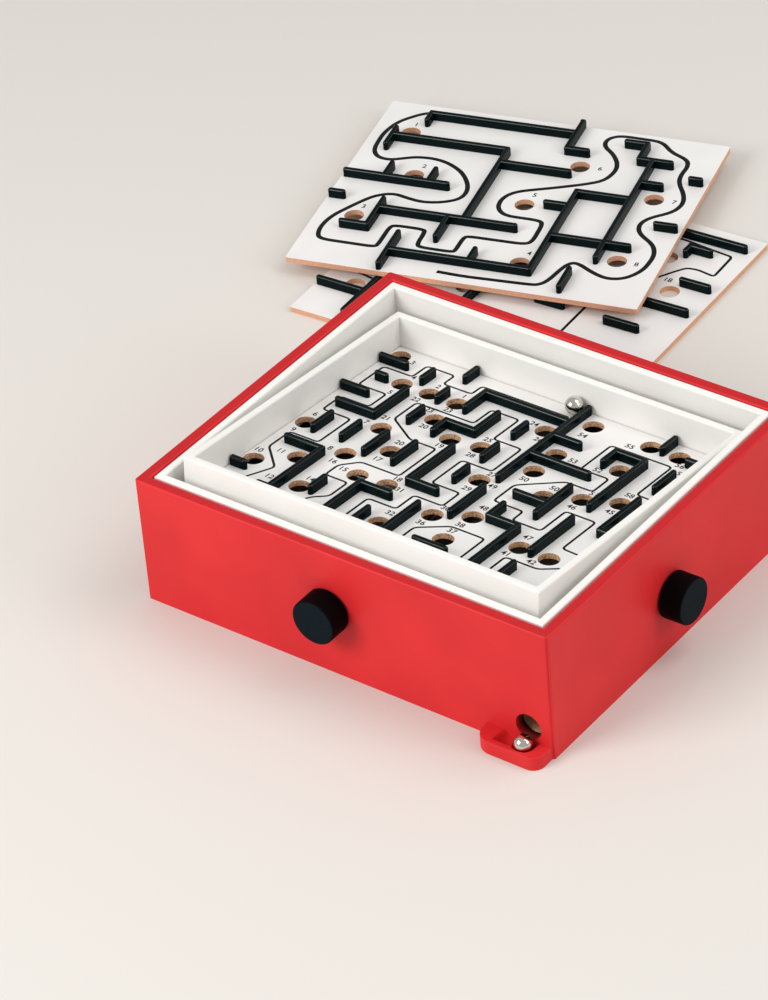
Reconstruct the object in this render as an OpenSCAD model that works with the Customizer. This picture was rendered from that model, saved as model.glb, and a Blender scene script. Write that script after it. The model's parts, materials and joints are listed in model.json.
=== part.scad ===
// Tilting labyrinth game: a red box, two nested tilting frames, a maze board with ball holes,
// two knobs that tilt the frames through cords, a ball tray and two spare maze boards.
// Frame: origin at the middle of the base on the table, X along the front wall to the right,
// Y away from the player, Z up. Millimetres. Photographed pose: board tilted, its back edge low.

/* [Box] */
// Outside width of the box along the front wall
box_w = 320; // [300:1:340]
// Outside depth of the box, front to back
box_d = 278; // [262:1:294]
// Height of the box
box_h = 95; // [93:1:105]
// Thickness of the four walls
wall_t = 8; // [7:0.5:9]
// Rounding of the rim edges
rim_r = 1.5; // [0.6:0.1:1.8]
// Rounding of the upright corners
corner_r = 2; // [1:0.1:3]
// Thickness of the base panel, and height and depth of its rebate in the walls
base_t = 4; // [3:0.5:5]
// Diameter of the panel pins that hold the base
pin_d = 1.6; // [1.2:0.1:2]
// Length of the panel pins
pin_len = 14; // [10:1:18]

/* [Ball return] */
// Diameter of the steel balls
ball_d = 12.7; // [11:0.1:13.5]
// Diameter of the exit hole in the front wall
exit_d = 19; // [16:0.5:19]
// Distance of the exit hole from the right inner wall face, to its centre
exit_in = 10; // [9.8:0.1:14]
// Height of the exit hole's centre
exit_z = 19; // [18:0.5:22]
// Fall of the return floor towards the exit, across and forward
floor_fall = 1.5; // [1:0.1:2]
// Thickness of the return floor
floor_t = 3; // [2:0.5:4]
// Side of the floor's corner blocks
block_w = 22; // [16:1:30]
// Length of the ball tray along the wall
tray_w = 48.5; // [44:0.5:52]
// Reach of the ball tray from the wall
tray_out = 16; // [15.5:0.5:18]
// Height of the ball tray
tray_h = 9.5; // [8:0.5:12]
// Rounding of the tray's front corner at the left
tray_left_r = 12; // [8:0.5:13]
// Rounding of the tray's front corner at the right
tray_right_r = 8; // [5:0.5:9]
// Thickness under the tray's pocket
tray_floor = 4; // [3:0.5:5]
// Length of the tray's flat top before its scoop
tray_flat = 12; // [8:0.5:13]
// Depth of the tray's scoop
scoop_d = 2.6; // [2:0.1:2.8]
// Width of the lip in front of the scoop
tray_lip = 4; // [3:0.5:5]

/* [Frames] */
// Thickness of the frame rails
rail_t = 5.5; // [5:0.1:6]
// Height of the outer frame's rails
outer_h = 32; // [30:0.5:33]
// Gap between the box walls and the outer frame
frame_gap = 1.5; // [1.4:0.1:2]
// Gap between the frames at the left and right
gap_x = 7; // [6:0.5:9]
// Gap between the frames at the front and back
gap_y = 8; // [7:0.5:10]
// Height of the inner frame's rim above the pivot axis
inner_top = 15; // [14:0.5:15.5]
// Height of the inner frame's rim above the maze board
rim_over_board = 23; // [22:0.5:24]
// Tilt of the maze board as photographed, back edge low
board_tilt = 5.5; // [0:0.5:6]
// Diameter of the pivot pins
pivot_d = 4; // [3:0.5:5]

/* [Maze board] */
// Thickness of every maze board
board_t = 4; // [3:0.5:4]
// Play of a board in the inner frame on each side
board_play = 0.5; // [0.3:0.1:1]
// Diameter of the ball holes
hole_d = 14.5; // [14:0.1:15.5]
// Thickness of the maze walls
maze_t = 4; // [3:0.5:4.5]
// Height of the maze walls
maze_h = 7; // [5:0.5:8]

/* [Knobs and shafts] */
// Diameter of the knobs
knob_d = 32; // [28:1:34]
// Reach of the knobs from the wall
knob_out = 17.5; // [15:0.5:22]
// Gap between a knob and its wall
knob_gap = 1; // [0.8:0.1:1.5]
// Diameter of the shafts
shaft_d = 5; // [4:0.5:5]
// Place of the front knob along the front wall
front_x = -8; // [-12:0.5:-7]
// Depth of the front knob's shaft below the rim
front_drop = 44; // [44:0.5:45]
// Place of the side knob along the right wall
side_y = -6; // [-10:0.5:-4]
// Depth of the side knob's shaft below the rim
side_drop = 53; // [53:0.5:54]
// Diameter of the cords
cord_d = 1.2; // [0.8:0.1:1.4]
// Turns of each cord round its shaft
cord_turns = 3; // [2:1:4]
// Wire of the cord springs
spring_wire = 0.8; // [0.6:0.1:0.9]
// Outside diameter of the cord springs
spring_d = 5; // [4.5:0.1:6]
// Curls of each cord spring
spring_turns = 10; // [8:1:11]

/* [Spare boards] */
// Middle of the lower spare board on the table, along X
lower_x = -157; // [-190:1:-120]
// Middle of the lower spare board on the table, along Y
lower_y = 293; // [290:1:340]
// Turn of the lower spare board
lower_turn = 3.8; // [0:0.1:8]
// Middle of the upper spare board, which lies across the lower one's walls, along X
upper_x = -214; // [-230:1:-190]
// Middle of the upper spare board along Y
upper_y = 352; // [340:1:370]
// Turn of the upper spare board
upper_turn = 15.4; // [5:0.1:20]

/* [Clearances] */
// Radial gap of pins and shafts that turn in a bore
run_gap = 0.06; // [0.03:0.01:0.1]
// Gap of parts that are pressed or glued into a hole
set_gap = 0.03; // [0.02:0.01:0.05]
// Gap between moving parts that only lie against each other
rest_gap = 0.3; // [0.2:0.1:0.5]

/* [Hidden] */

hw = box_w / 2;
hd = box_d / 2;
in_x = hw - wall_t;
in_y = hd - wall_t;
outer_x = in_x - frame_gap;
outer_y = in_y - frame_gap;
inner_x = outer_x - rail_t - gap_x;
inner_y = outer_y - rail_t - gap_y;
well_x = inner_x - rail_t;
well_y = inner_y - rail_t;
board_x = well_x - board_play;
board_y = well_y - board_play;
pivot_z = box_h - outer_h / 2;
front_z = box_h - front_drop;
side_z = box_h - side_drop;
board_top = inner_top - rim_over_board;
board_low = board_top - board_t;
ledge_t = 4;
ledge_w = 5;
lane = well_x / 132.5 * 22.5;
deep = well_y / 110.5;
spare_x = board_x / 132;
spare_y = board_y / 110;
exit_x = in_x - exit_in;
exit_floor = exit_z - exit_d / 2 + 0.3;
tray_x = hw - 1.5 - tray_w;
pocket_r = ball_d / 2 + 1.35;
pocket_y = ball_d / 2 - 0.3;
scoop_r = scoop_d / (2 - 2 * cos(45));
scoop_top = tray_x + tray_flat;
scoop_low = scoop_top + 2 * scoop_r * sin(45);
bush_d = shaft_d + 4;
bush_in = wall_t - 2;
flange_d = shaft_d + 9;
flange_t = 1.5;
clip_d = shaft_d + 4;
pivot_in = 4.5;
eye_r = 2.2;
eye_wire = 1.2;
eye_drop = 1;
cord_r = shaft_d / 2 + rest_gap + cord_d / 2;
cord_pitch = cord_d + 0.6;
outer_cord_y = 14;
inner_cord_x = 4;
spring_len = 22;
spring_end = 2;
upper_z = board_t + maze_h;

// Maze board layout: walls that run away from the player as [lane line, from, to]
// and walls that run across as [place, from, to], then ball holes as [lane, place].
along = [[-4, 77, 90], [-4, 23.5, 60], [-5, -13, 7], [-4, -12, 8], [-3, -18, 8], [-2, -17, 8],
    [-3, 63, 75], [-3, 95, 110], [-2, 63, 86.5], [1, 5, 110], [0, 54, 69], [-1, 42, 69],
    [-2, 27, 42], [-3, 31, 47], [0, 19, 36], [-1, -31, 18], [0, -12, 3], [1, -48, -11],
    [0, -90, -51], [-1, -90, -74], [-2, -110, -52], [-3, -75, -60], [-4, -90, -33],
    [3, -90, -37.5], [2, -37.5, -21], [3, -18, 21], [4, 9, 73], [3, 58, 73], [4, 93, 110],
    [5, 50, 72], [5, -12.5, 32], [4, -56, -10], [4, -110, -74]];
across = [[87, -132, -110], [66, -118.5, -111.5], [43.5, -132, -110.5], [23.5, -119.5, -90],
    [86.5, -45, 22.5], [67.5, 22.5, 43], [40, 22.5, 68.5], [42, -45, -22.5], [-31, -22.5, 0],
    [-52, -45, -21.5], [-33, -118.5, -90], [-75, -132, -121], [-86, 22.5, 46],
    [-37.5, 45, 67.5], [-4.5, 42.5, 67.5], [73, 67.5, 90], [90, 111.5, 132],
    [-12.5, 112.5, 132], [-90, -98, -90]];
holes = [[-6, 99], [-5, 70], [-4, 70], [-3, 70], [-3, 45], [-4, 16], [-3, -4], [-6, -6],
    [-4, -23], [-6, -62], [-5, -44], [-4, -72], [-3, -40], [-2, -39], [-2, 30.5], [-1, 33.5],
    [0, 0], [0, 74.5], [1, 97], [1, 54], [1, 29], [0, -51.5], [1, -39], [1, -71], [-1, -78.5],
    [2, 7], [3, 61], [3, 97], [4, 96.5], [4, 28], [3, 18], [3, -51.5], [4, -52], [-6, -97],
    [-3, -97], [1, -100], [4, -92], [5, 62], [5, 8], [5, -80]];

// Blocks under the maze board as [side, from, to], between the holes
ledges = [[-1, -86, -73], [-1, -50, -18], [-1, 6, 86],
    [1, -109, -91], [1, -68, -4], [1, 20, 50], [1, 74, 106]];

// The two spare boards have their own layouts, as [x, from, to], [y, from, to] and [x, y].
upper_along = [[-94.5, 82.5, 93], [19, 71, 109], [-113, 44.5, 67], [-22.5, -37.5, 58.5],
    [-98.5, 3, 20], [-64.5, 3, 20], [-87.5, -62, -27], [-34, -64, -37.5], [-61.5, -107, -66],
    [-0.5, -88, -73], [45, -88, 17], [85.5, -61.5, 70], [75, 70, 90.5], [72.5, -103, -80]];
upper_across = [[93, -94.5, 19], [71, 19, 35], [58.5, -113, -22.5], [3, -128.5, -49.5],
    [41, -22.5, 31], [-26, -129, -119.5], [-37.5, -87.5, 17], [-62, -107, -87.5],
    [-88, -61.5, 45], [17, 45, 85.5], [-2, 28, 45], [-42, 45, 104], [70, 75, 99.5],
    [90.5, 59, 75], [40, 85.5, 101.5], [53.5, 119.5, 127], [-9.5, 113.5, 128]];
upper_holes = [[-103, 70.5], [-80, 15.5], [-103.5, -46], [33.5, -75], [11.5, -2], [34, 56.5],
    [100, 27.5], [99.5, -55.5]];
lower_along = [[88, 69, 76.5], [-91, -103, -48], [-110, 20, 62], [-66, -40, 20], [-22, 30, 92],
    [-22, -60, 0], [22, -30, 48], [45, 48, 74], [45, -108, -62], [0, -108, -86]];
lower_across = [[92, -66, 123.5], [76.5, 88, 104], [36, 103.5, 125], [3, 86, 125.5],
    [-29, 79, 104], [-26.5, 22, 42.5], [-75.5, -129, -91], [62, -131, -88], [20, -90, -44],
    [0, -22, 22], [48, 22, 66], [-60, -44, 20], [-62, 45, 88], [-40, -110, -66]];
lower_holes = [[77, 63], [99.5, 25.5], [-99, 40], [-77, 0], [-44, 48], [-33, -33], [8, 26],
    [24, -84], [56, 12], [-105.5, -65], [-8, -76], [101, -84], [8, 72], [-77, 78]];

// Helpers

function arc(cx, cy, r, a0, a1, n) =
    [for (i = [0:n]) let (a = a0 + (a1 - a0) * i / n) [cx + r * cos(a), cy + r * sin(a)]];
function round_rect(hx, hy, r) = concat(arc(hx - r, hy - r, r, 0, 90, 6),
    arc(-hx + r, hy - r, r, 90, 180, 6), arc(-hx + r, -hy + r, r, 180, 270, 6),
    arc(hx - r, -hy + r, r, 270, 360, 6));
function unit(v) = v / norm(v);
function tilted(p) = [p[0], p[1] * cos(board_tilt) + p[2] * sin(board_tilt),
    pivot_z - p[1] * sin(board_tilt) + p[2] * cos(board_tilt)];

// Front rail of a mitred frame with outer half sizes hx and hy, standing on z = 0
module mitred_rail(hx, hy, t, h, r) {
    intersection() {
        translate([-hx, -hy, 0]) rotate([90, 0, 90]) linear_extrude(2 * hx)
            polygon(concat([[0, 0], [t, 0]], arc(t - r, h - r, r, 0, 90, 5),
                arc(r, h - r, r, 90, 180, 5)));
        linear_extrude(h) polygon([[-hx, -hy], [hx, -hy], [hx - t, t - hy], [t - hx, t - hy]]);
    }
}

// One side of a frame: 0 front, 1 right, 2 back, 3 left
module side_of_frame(side, hx, hy, t, h, r) {
    rotate([0, 0, 90 * side]) mitred_rail(side % 2 == 0 ? hx : hy, side % 2 == 0 ? hy : hx, t, h, r);
}

module in_board_frame() {
    translate([0, 0, pivot_z]) rotate([-board_tilt, 0, 0]) children();
}

module along_y(d, y0, y1, x, z) {
    translate([x, y0, z]) rotate([-90, 0, 0]) cylinder(d = d, h = y1 - y0, $fn = 48);
}

module along_x(d, x0, x1, y, z) {
    translate([x0, y, z]) rotate([0, 90, 0]) cylinder(d = d, h = x1 - x0, $fn = 48);
}

// Where a strip that runs across meets the end of one that runs away, its place, else nothing
function met(x, y, columns, sx, sy) = [for (c = columns)
    if (abs(c[0] * sy - y) < maze_t && c[1] * sx < x + 0.01 && x < c[2] * sx + 0.01) c[0] * sy];

// Plan of a straight strip, with a round end or, where another strip meets it, a square one
module strip_plan(p0, p1, t, square0, square1) {
    away = p0[0] == p1[0];
    translate([p0[0] - (away ? t / 2 : 0), p0[1] - (away ? 0 : t / 2)])
        square([away ? t : p1[0] - p0[0], away ? p1[1] - p0[1] : t]);
    for (e = [[p0, square0], [p1, square1]]) translate(e[0]) {
        if (e[1]) square(t, center = true);
        else circle(d = t, $fn = 24);
    }
}

module away_strip(a, columns, pitch, sx, sy, t) {
    x = a[0] * pitch;
    low = met(x, a[1] * sy, columns, sx, sy);
    high = met(x, a[2] * sy, columns, sx, sy);
    strip_plan([x, len(low) > 0 ? low[0] : a[1] * sy], [x, len(high) > 0 ? high[0] : a[2] * sy],
        t, len(low) > 0, len(high) > 0);
}

// Walls of a board: the strips that run across are cut to butt against the others
module maze_strips(rows, columns, pitch, sx, sy) {
    linear_extrude(maze_h) intersection() {
        union() {
            for (a = rows) away_strip(a, columns, pitch, sx, sy, maze_t);
            difference() {
                for (c = columns)
                    strip_plan([c[1] * sx, c[0] * sy], [c[2] * sx, c[0] * sy], maze_t, false, false);
                for (a = rows) away_strip(a, columns, pitch, sx, sy, maze_t + 0.2);
            }
        }
        square([2 * board_x, 2 * board_y], center = true);
    }
}

module blank_board(spots) {
    difference() {
        linear_extrude(board_t) polygon(round_rect(board_x, board_y, 1.5));
        for (s = spots) translate([s[0], s[1], -1]) cylinder(d = hole_d, h = board_t + 2, $fn = 48);
    }
}

// Round wire along a list of points
function tangents(p) =
    [for (i = [0:len(p) - 1]) unit(p[min(i + 1, len(p) - 1)] - p[max(i - 1, 0)])];
function normals(t, n0) = [for (i = 0, n = unit(n0 - (n0 * t[0]) * t[0]); i < len(t);
    i = i + 1, n = i < len(t) ? unit(n - (n * t[i]) * t[i]) : n) n];
module wire(p, d, side) {
    t = tangents(p);
    n = normals(t, side);
    m = len(p);
    polyhedron([for (i = [0:m - 1]) for (k = [0:5])
            p[i] + d / 2 * (cos(60 * k) * n[i] + sin(60 * k) * cross(t[i], n[i]))],
        concat([[0, 1, 2, 3, 4, 5]],
            [for (i = [0:m - 2]) for (k = [0:5]) [6 * i + k, 6 * i + 6 + k, 6 * i + 6 + (k + 1) % 6]],
            [for (i = [0:m - 2]) for (k = [0:5]) [6 * i + k, 6 * i + 6 + (k + 1) % 6, 6 * i + (k + 1) % 6]],
            [[for (k = [5:-1:0]) 6 * m - 6 + k]]));
}

// Path of a cord: from a frame eye, under and round its shaft, and on to the cord spring.
// Worked out in the plane across the shaft, as [across, up, along the shaft].
function lap(e) = acos(cord_r / norm(e));
function cord_path(a, b, c, s0) = let (
        ea = a - c, eb = b - c,
        fa = atan2(ea[0], -ea[1]) + lap(ea), fb = atan2(eb[0], -eb[1]) - lap(eb),
        n = 24 * cord_turns, turn = 360 * cord_turns + fb - fa, w = cord_pitch * cord_turns)
    concat([[a[0], a[1], s0 - w / 2]],
        [for (i = [0:n]) let (f = fa + turn * i / n)
            [c[0] + cord_r * sin(f), c[1] - cord_r * cos(f), s0 - w / 2 + w * i / n]],
        [[b[0], b[1], s0 + w / 2]]);

// Path of a spring between two points: straight ends on its axis, curls between
function spring_path(p0, p1) = let (
        a = unit(p1 - p0), u = unit(cross(a, [0, 0, 1])), v = cross(a, u), n = 8 * spring_turns,
        len_in = norm(p1 - p0) - 2 * spring_end, r = (spring_d - spring_wire) / 2)
    concat([p0, p0 + a * (spring_end - spring_wire / 4)],
        [for (i = [1:n - 1]) let (q = r * min(1, i / 6, (n - i) / 6))
            p0 + a * (spring_end + len_in * i / n) + q * (cos(45 * i) * u + sin(45 * i) * v)],
        [p1 - a * (spring_end - spring_wire / 4), p1]);
function own_gap(p, d) = min([for (i = [0:len(p) - 1]) for (j = [i + 6:1:len(p) - 1])
    norm(p[i] - p[j])]) - d;

// Cord ends: on the outer frame's eyes, and on the tilted inner frame's eyes
eye_z = pivot_z - outer_h / 2 - eye_drop - eye_r - eye_wire / 2;
eye_x = outer_x - rail_t / 2;
eye_near = eye_wire / 2 + 0.2;
o_left = [-eye_x + eye_near, eye_z - eye_r];
o_right = [eye_x - eye_near, eye_z - eye_r];
in_eye_z = board_low - eye_drop - eye_r - eye_wire / 2;
in_eye_y = inner_y - rail_t / 2;
i_front3 = tilted([0, -in_eye_y + eye_near, in_eye_z - eye_r]);
i_back3 = tilted([0, in_eye_y - eye_near, in_eye_z - eye_r]);
i_front = [i_front3[1], i_front3[2]];
i_back = [i_back3[1], i_back3[2]];
front_c = [front_x, front_z];
side_c = [side_y, side_z];
function toward(a, c, d) = a + d * unit(c + [0, -cord_r] - a);
o_cord_end = toward(o_right, front_c, spring_len + 0.2);
o_spring_end = toward(o_right, front_c, spring_len);
i_cord_end = toward(i_back, side_c, spring_len + 0.2);
i_spring_end = toward(i_back, side_c, spring_len);
outer_w = cord_pitch * cord_turns / 2;
outer_path = [for (p = cord_path(o_left, o_cord_end, front_c, outer_cord_y)) [p[0], p[2], p[1]]];
inner_path = [for (p = cord_path(i_front, i_cord_end, side_c, inner_cord_x)) [p[2], p[0], p[1]]];
outer_coil = spring_path([o_spring_end[0], outer_cord_y + outer_w, o_spring_end[1]],
    [o_right[0], outer_cord_y + outer_w, o_right[1]]);
inner_coil = spring_path([inner_cord_x + outer_w, i_spring_end[0], i_spring_end[1]],
    [inner_cord_x + outer_w, i_back[0], i_back[1]]);
echo(least_gap_outer_spring = own_gap(outer_coil, spring_wire));
echo(least_gap_inner_spring = own_gap(inner_coil, spring_wire));

// Places of the panel pins under the walls
pin_spots = concat(
    [for (x = [-0.4, -0.13, 0.13, 0.38]) for (s = [-1, 1]) [x * box_w, s * (in_y + base_t / 2)]],
    [for (y = [-0.33, 0, 0.33]) for (s = [-1, 1]) [s * (in_x + base_t / 2), y * box_d]]);

// Box

module wall_blank(side) {
    difference() {
        intersection() {
            side_of_frame(side, hw, hd, wall_t, box_h, rim_r);
            linear_extrude(box_h) polygon(round_rect(hw, hd, corner_r));
        }
        translate([-hw + base_t, -hd + base_t, -1])
            cube([box_w - 2 * base_t, box_d - 2 * base_t, base_t + 1]);
        for (p = pin_spots) translate([p[0], p[1], base_t - 1])
            cylinder(d = pin_d + 2 * set_gap, h = pin_len - base_t + 1.5, $fn = 16);
    }
}

module front_wall() color([0.86, 0.2, 0.2]) difference() {
    wall_blank(0);
    along_y(exit_d, -hd - 1, -in_y + 1, exit_x, exit_z);
    along_y(bush_d + 2 * set_gap, -hd - 1, -in_y + 1, front_x, front_z);
    along_y(pivot_d + 2 * run_gap, -in_y - 5, -in_y + 1, 0, pivot_z);
}

module back_wall() color([0.86, 0.2, 0.2]) difference() {
    wall_blank(2);
    along_y(bush_d + 2 * set_gap, in_y - 1, in_y + bush_in + 0.2, front_x, front_z);
    along_y(pivot_d + 2 * run_gap, in_y - 1, in_y + 5, 0, pivot_z);
}

module left_wall() color([0.82, 0.18, 0.18]) difference() {
    wall_blank(3);
    along_x(bush_d + 2 * set_gap, -in_x - bush_in - 0.2, -in_x + 1, side_y, side_z);
}

module right_wall() color([0.82, 0.18, 0.18]) difference() {
    wall_blank(1);
    along_x(bush_d + 2 * set_gap, in_x - 1, hw + 1, side_y, side_z);
}

module base_panel() color([0.72, 0.55, 0.36]) difference() {
    translate([-hw + base_t + 0.2, -hd + base_t + 0.2, 0])
        cube([box_w - 2 * base_t - 0.4, box_d - 2 * base_t - 0.4, base_t]);
    for (p = pin_spots) translate([p[0], p[1], -1]) {
        cylinder(d = pin_d + 2 * set_gap, h = base_t + 2, $fn = 16);
        cylinder(d = 2 * pin_d + 2 * set_gap, h = 1.85, $fn = 16);
    }
}

module base_pins() color([0.7, 0.7, 0.72]) for (p = pin_spots) translate([p[0], p[1], 0.05]) {
    cylinder(d = pin_d, h = pin_len, $fn = 16);
    cylinder(d = 2 * pin_d, h = 0.8, $fn = 16);
}

// Sloping plane of the return floor, lowest at the exit hole
module on_slope() {
    translate([exit_x, -in_y, exit_floor]) rotate([floor_fall, floor_fall, 0]) children();
}

module return_floor() color([0.76, 0.6, 0.4]) intersection() {
    on_slope() translate([-box_w, -box_d, -floor_t]) cube([2 * box_w, 2 * box_d, floor_t]);
    translate([-in_x + 0.2, -in_y + 0.2, 0]) cube([2 * in_x - 0.4, 2 * in_y - 0.4, box_h]);
}

module floor_blocks() color([0.8, 0.66, 0.46]) difference() {
    for (x = [-in_x + 0.5, in_x - 0.5 - block_w]) for (y = [-in_y + 0.5, in_y - 0.5 - block_w])
        translate([x, y, base_t]) cube([block_w, block_w, box_h / 2]);
    on_slope() translate([-box_w, -box_d, -floor_t]) cube([2 * box_w, 2 * box_d, box_h]);
}

// The tray's scoop comes down from its top in an S and runs on to the round pocket
module ball_tray() color([0.88, 0.16, 0.17]) difference() {
    translate([tray_x, -hd - tray_out, 0]) linear_extrude(tray_h)
        polygon(concat([[0, tray_out]], arc(tray_left_r, tray_left_r, tray_left_r, 180, 270, 8),
            arc(tray_w - tray_right_r, tray_right_r, tray_right_r, 270, 360, 8), [[tray_w, tray_out]]));
    translate([exit_x, -hd - pocket_y, tray_floor]) cylinder(r = pocket_r, h = tray_h, $fn = 48);
    translate([exit_x - pocket_r, -hd - pocket_y, tray_floor])
        cube([2 * pocket_r, pocket_y + 1, tray_h]);
    translate([0, 1 - hd, 0]) rotate([90, 0, 0]) linear_extrude(tray_out - tray_lip + 1)
        polygon(concat([[exit_x, tray_h + 1], [scoop_top, tray_h + 1]],
            arc(scoop_top, tray_h - scoop_r, scoop_r, 90, 45, 5),
            arc(scoop_low, tray_h - scoop_d + scoop_r, scoop_r, 225, 270, 5),
            [[exit_x, tray_h - scoop_d]]));
}

module bush(len) {
    difference() {
        union() {
            cylinder(d = bush_d, h = len, $fn = 48);
            translate([0, 0, -flange_t]) cylinder(d = flange_d, h = flange_t, $fn = 48);
        }
        translate([0, 0, -flange_t - 1])
            cylinder(d = shaft_d + 2 * run_gap, h = len + flange_t + 2, $fn = 48);
    }
}

module front_shaft_bushes() color([0.2, 0.2, 0.2]) {
    translate([front_x, -in_y, front_z]) rotate([90, 0, 0]) bush(wall_t);
    translate([front_x, in_y, front_z]) rotate([-90, 0, 0]) bush(bush_in);
}

module side_shaft_bushes() color([0.2, 0.2, 0.2]) {
    translate([in_x, side_y, side_z]) rotate([0, 90, 0]) bush(wall_t);
    translate([-in_x, side_y, side_z]) rotate([0, -90, 0]) bush(bush_in);
}

// Outer frame: tilts left and right on pins in the front and back walls

module outer_rail(side) {
    translate([0, 0, pivot_z - outer_h / 2]) side_of_frame(side, outer_x, outer_y, rail_t, outer_h, 1.2);
}

module outer_end_rail(side) color([0.93, 0.92, 0.88]) difference() {
    outer_rail(side);
    for (s = [-1, 1])
        along_y(pivot_d + 2 * set_gap, s * outer_y - pivot_in, s * outer_y + pivot_in, 0, pivot_z);
}

module outer_side_rail(side, s, y) color([0.93, 0.92, 0.88]) difference() {
    outer_rail(side);
    along_x(pivot_d + 2 * run_gap, s * (outer_x - rail_t) - pivot_in,
        s * (outer_x - rail_t) + pivot_in, 0, pivot_z);
    translate([s * eye_x, y, pivot_z - outer_h / 2 - 1])
        cylinder(d = eye_wire + 2 * set_gap, h = 7.2, $fn = 16);
}

module outer_rail_front() outer_end_rail(0);
module outer_rail_back() outer_end_rail(2);
module outer_rail_left() outer_side_rail(3, -1, outer_cord_y - outer_w);
module outer_rail_right() outer_side_rail(1, 1, outer_cord_y + outer_w);

module outer_pivot_pins() color([0.75, 0.75, 0.77])
    for (s = [-1, 1]) along_y(pivot_d, min(s * (outer_y - pivot_in + 0.2), s * (in_y + 4.5)),
        max(s * (outer_y - pivot_in + 0.2), s * (in_y + 4.5)), 0, pivot_z);

// Screw eye with its shank up and its ring across X
module screw_eye() {
    rotate([0, 90, 0]) rotate_extrude($fn = 32) translate([eye_r, 0]) circle(d = eye_wire, $fn = 16);
    translate([0, 0, eye_r]) cylinder(d = eye_wire, h = 6 + eye_drop, $fn = 16);
}

module outer_cord_eyes() color([0.75, 0.7, 0.5]) for (s = [-1, 1])
    translate([s * eye_x, outer_cord_y + s * outer_w, eye_z]) screw_eye();

// Inner frame: tilts forward and back on pins in the outer frame, holds the maze board

module inner_end_rail(side, x) color([0.95, 0.94, 0.91]) in_board_frame() difference() {
    translate([0, 0, board_low]) intersection() {
        side_of_frame(side, inner_x, inner_y, rail_t, inner_top - board_low, 1.2);
        linear_extrude(inner_top - board_low) polygon(round_rect(inner_x, inner_y, 1));
    }
    translate([x, (side == 0 ? -1 : 1) * in_eye_y, board_low - 1])
        cylinder(d = eye_wire + 2 * set_gap, h = 7.2, $fn = 16);
}

module inner_side_rail(side, s) color([0.95, 0.94, 0.91]) in_board_frame() difference() {
    translate([0, 0, board_low - ledge_t]) intersection() {
        side_of_frame(side, inner_x, inner_y, rail_t, inner_top - board_low + ledge_t, 1.2);
        linear_extrude(inner_top - board_low + ledge_t) polygon(round_rect(inner_x, inner_y, 1));
    }
    along_x(pivot_d + 2 * set_gap, s * inner_x - pivot_in, s * inner_x + pivot_in, 0, 0);
}

module inner_rail_front() inner_end_rail(0, inner_cord_x - outer_w);
module inner_rail_back() inner_end_rail(2, inner_cord_x + outer_w);
module inner_rail_left() inner_side_rail(3, -1);
module inner_rail_right() inner_side_rail(1, 1);

// Blocks glued to the side rails clear of the ball holes, on which the maze board lies
module board_ledges() color([0.93, 0.92, 0.89]) in_board_frame() for (b = ledges)
    translate([b[0] < 0 ? -well_x : well_x - ledge_w, deep * b[1], board_low - ledge_t])
        cube([ledge_w, deep * (b[2] - b[1]), ledge_t]);

module inner_pivot_pins() color([0.75, 0.75, 0.77]) in_board_frame()
    for (s = [-1, 1]) along_x(pivot_d, min(s * (inner_x - pivot_in + 0.2), s * (outer_x - 1.4)),
        max(s * (inner_x - pivot_in + 0.2), s * (outer_x - 1.4)), 0, 0);

module inner_cord_eyes() color([0.75, 0.7, 0.5]) in_board_frame() for (s = [-1, 1])
    translate([inner_cord_x + s * outer_w, s * in_eye_y, in_eye_z]) rotate([0, 0, 90]) screw_eye();

module maze_board() color([0.96, 0.96, 0.95]) in_board_frame() translate([0, 0, board_low])
    blank_board([for (h = holes) [lane * (h[0] + 0.5), deep * h[1]]]);

module maze_walls() color([0.05, 0.07, 0.06]) in_board_frame() translate([0, 0, board_top])
    maze_strips(along, across, lane, lane / 22.5, deep);

// Knobs and shafts

module front_shaft() color([0.75, 0.75, 0.77])
    along_y(shaft_d, -hd - knob_out + 5, in_y + bush_in - 1, front_x, front_z);

module side_shaft() color([0.75, 0.75, 0.77])
    along_x(shaft_d, -in_x - bush_in + 1, hw + knob_out - 5, side_y, side_z);

// Turned knob with rounded edges and a blind bore, standing on z = 0
module knob() {
    difference() {
        rotate_extrude($fn = 96) polygon(concat([[0, 0]], arc(knob_d / 2 - 0.6, 0.6, 0.6, 270, 360, 4),
            arc(knob_d / 2 - 1.2, knob_out - knob_gap - 1.2, 1.2, 0, 90, 5), [[0, knob_out - knob_gap]]));
        translate([0, 0, -1]) cylinder(d = shaft_d + 2 * set_gap, h = knob_out - knob_gap - 3.8, $fn = 48);
    }
}

module front_knob() color([0.06, 0.06, 0.07])
    translate([front_x, -hd - knob_gap, front_z]) rotate([90, 0, 0]) knob();

module side_knob() color([0.06, 0.06, 0.07])
    translate([hw + knob_gap, side_y, side_z]) rotate([0, 90, 0]) knob();

module clip() {
    difference() {
        cylinder(d = clip_d, h = 1, $fn = 48);
        translate([0, 0, -1]) cylinder(d = shaft_d + 2 * set_gap, h = 3, $fn = 48);
    }
}

module front_shaft_clips() color([0.6, 0.6, 0.62]) for (s = [-1, 1])
    translate([front_x, s * (in_y - flange_t - rest_gap), front_z]) rotate([90 * s, 0, 0]) clip();

module side_shaft_clips() color([0.6, 0.6, 0.62]) for (s = [-1, 1])
    translate([s * (in_x - flange_t - rest_gap), side_y, side_z]) rotate([0, -90 * s, 0]) clip();

module outer_cord() color([0.15, 0.15, 0.15]) wire(outer_path, cord_d, [0, 1, 0]);
module inner_cord() color([0.15, 0.15, 0.15]) wire(inner_path, cord_d, [1, 0, 0]);
module outer_cord_spring() color([0.7, 0.7, 0.72]) wire(outer_coil, spring_wire, [0, 0, 1]);
module inner_cord_spring() color([0.7, 0.7, 0.72]) wire(inner_coil, spring_wire, [0, 0, 1]);

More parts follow.
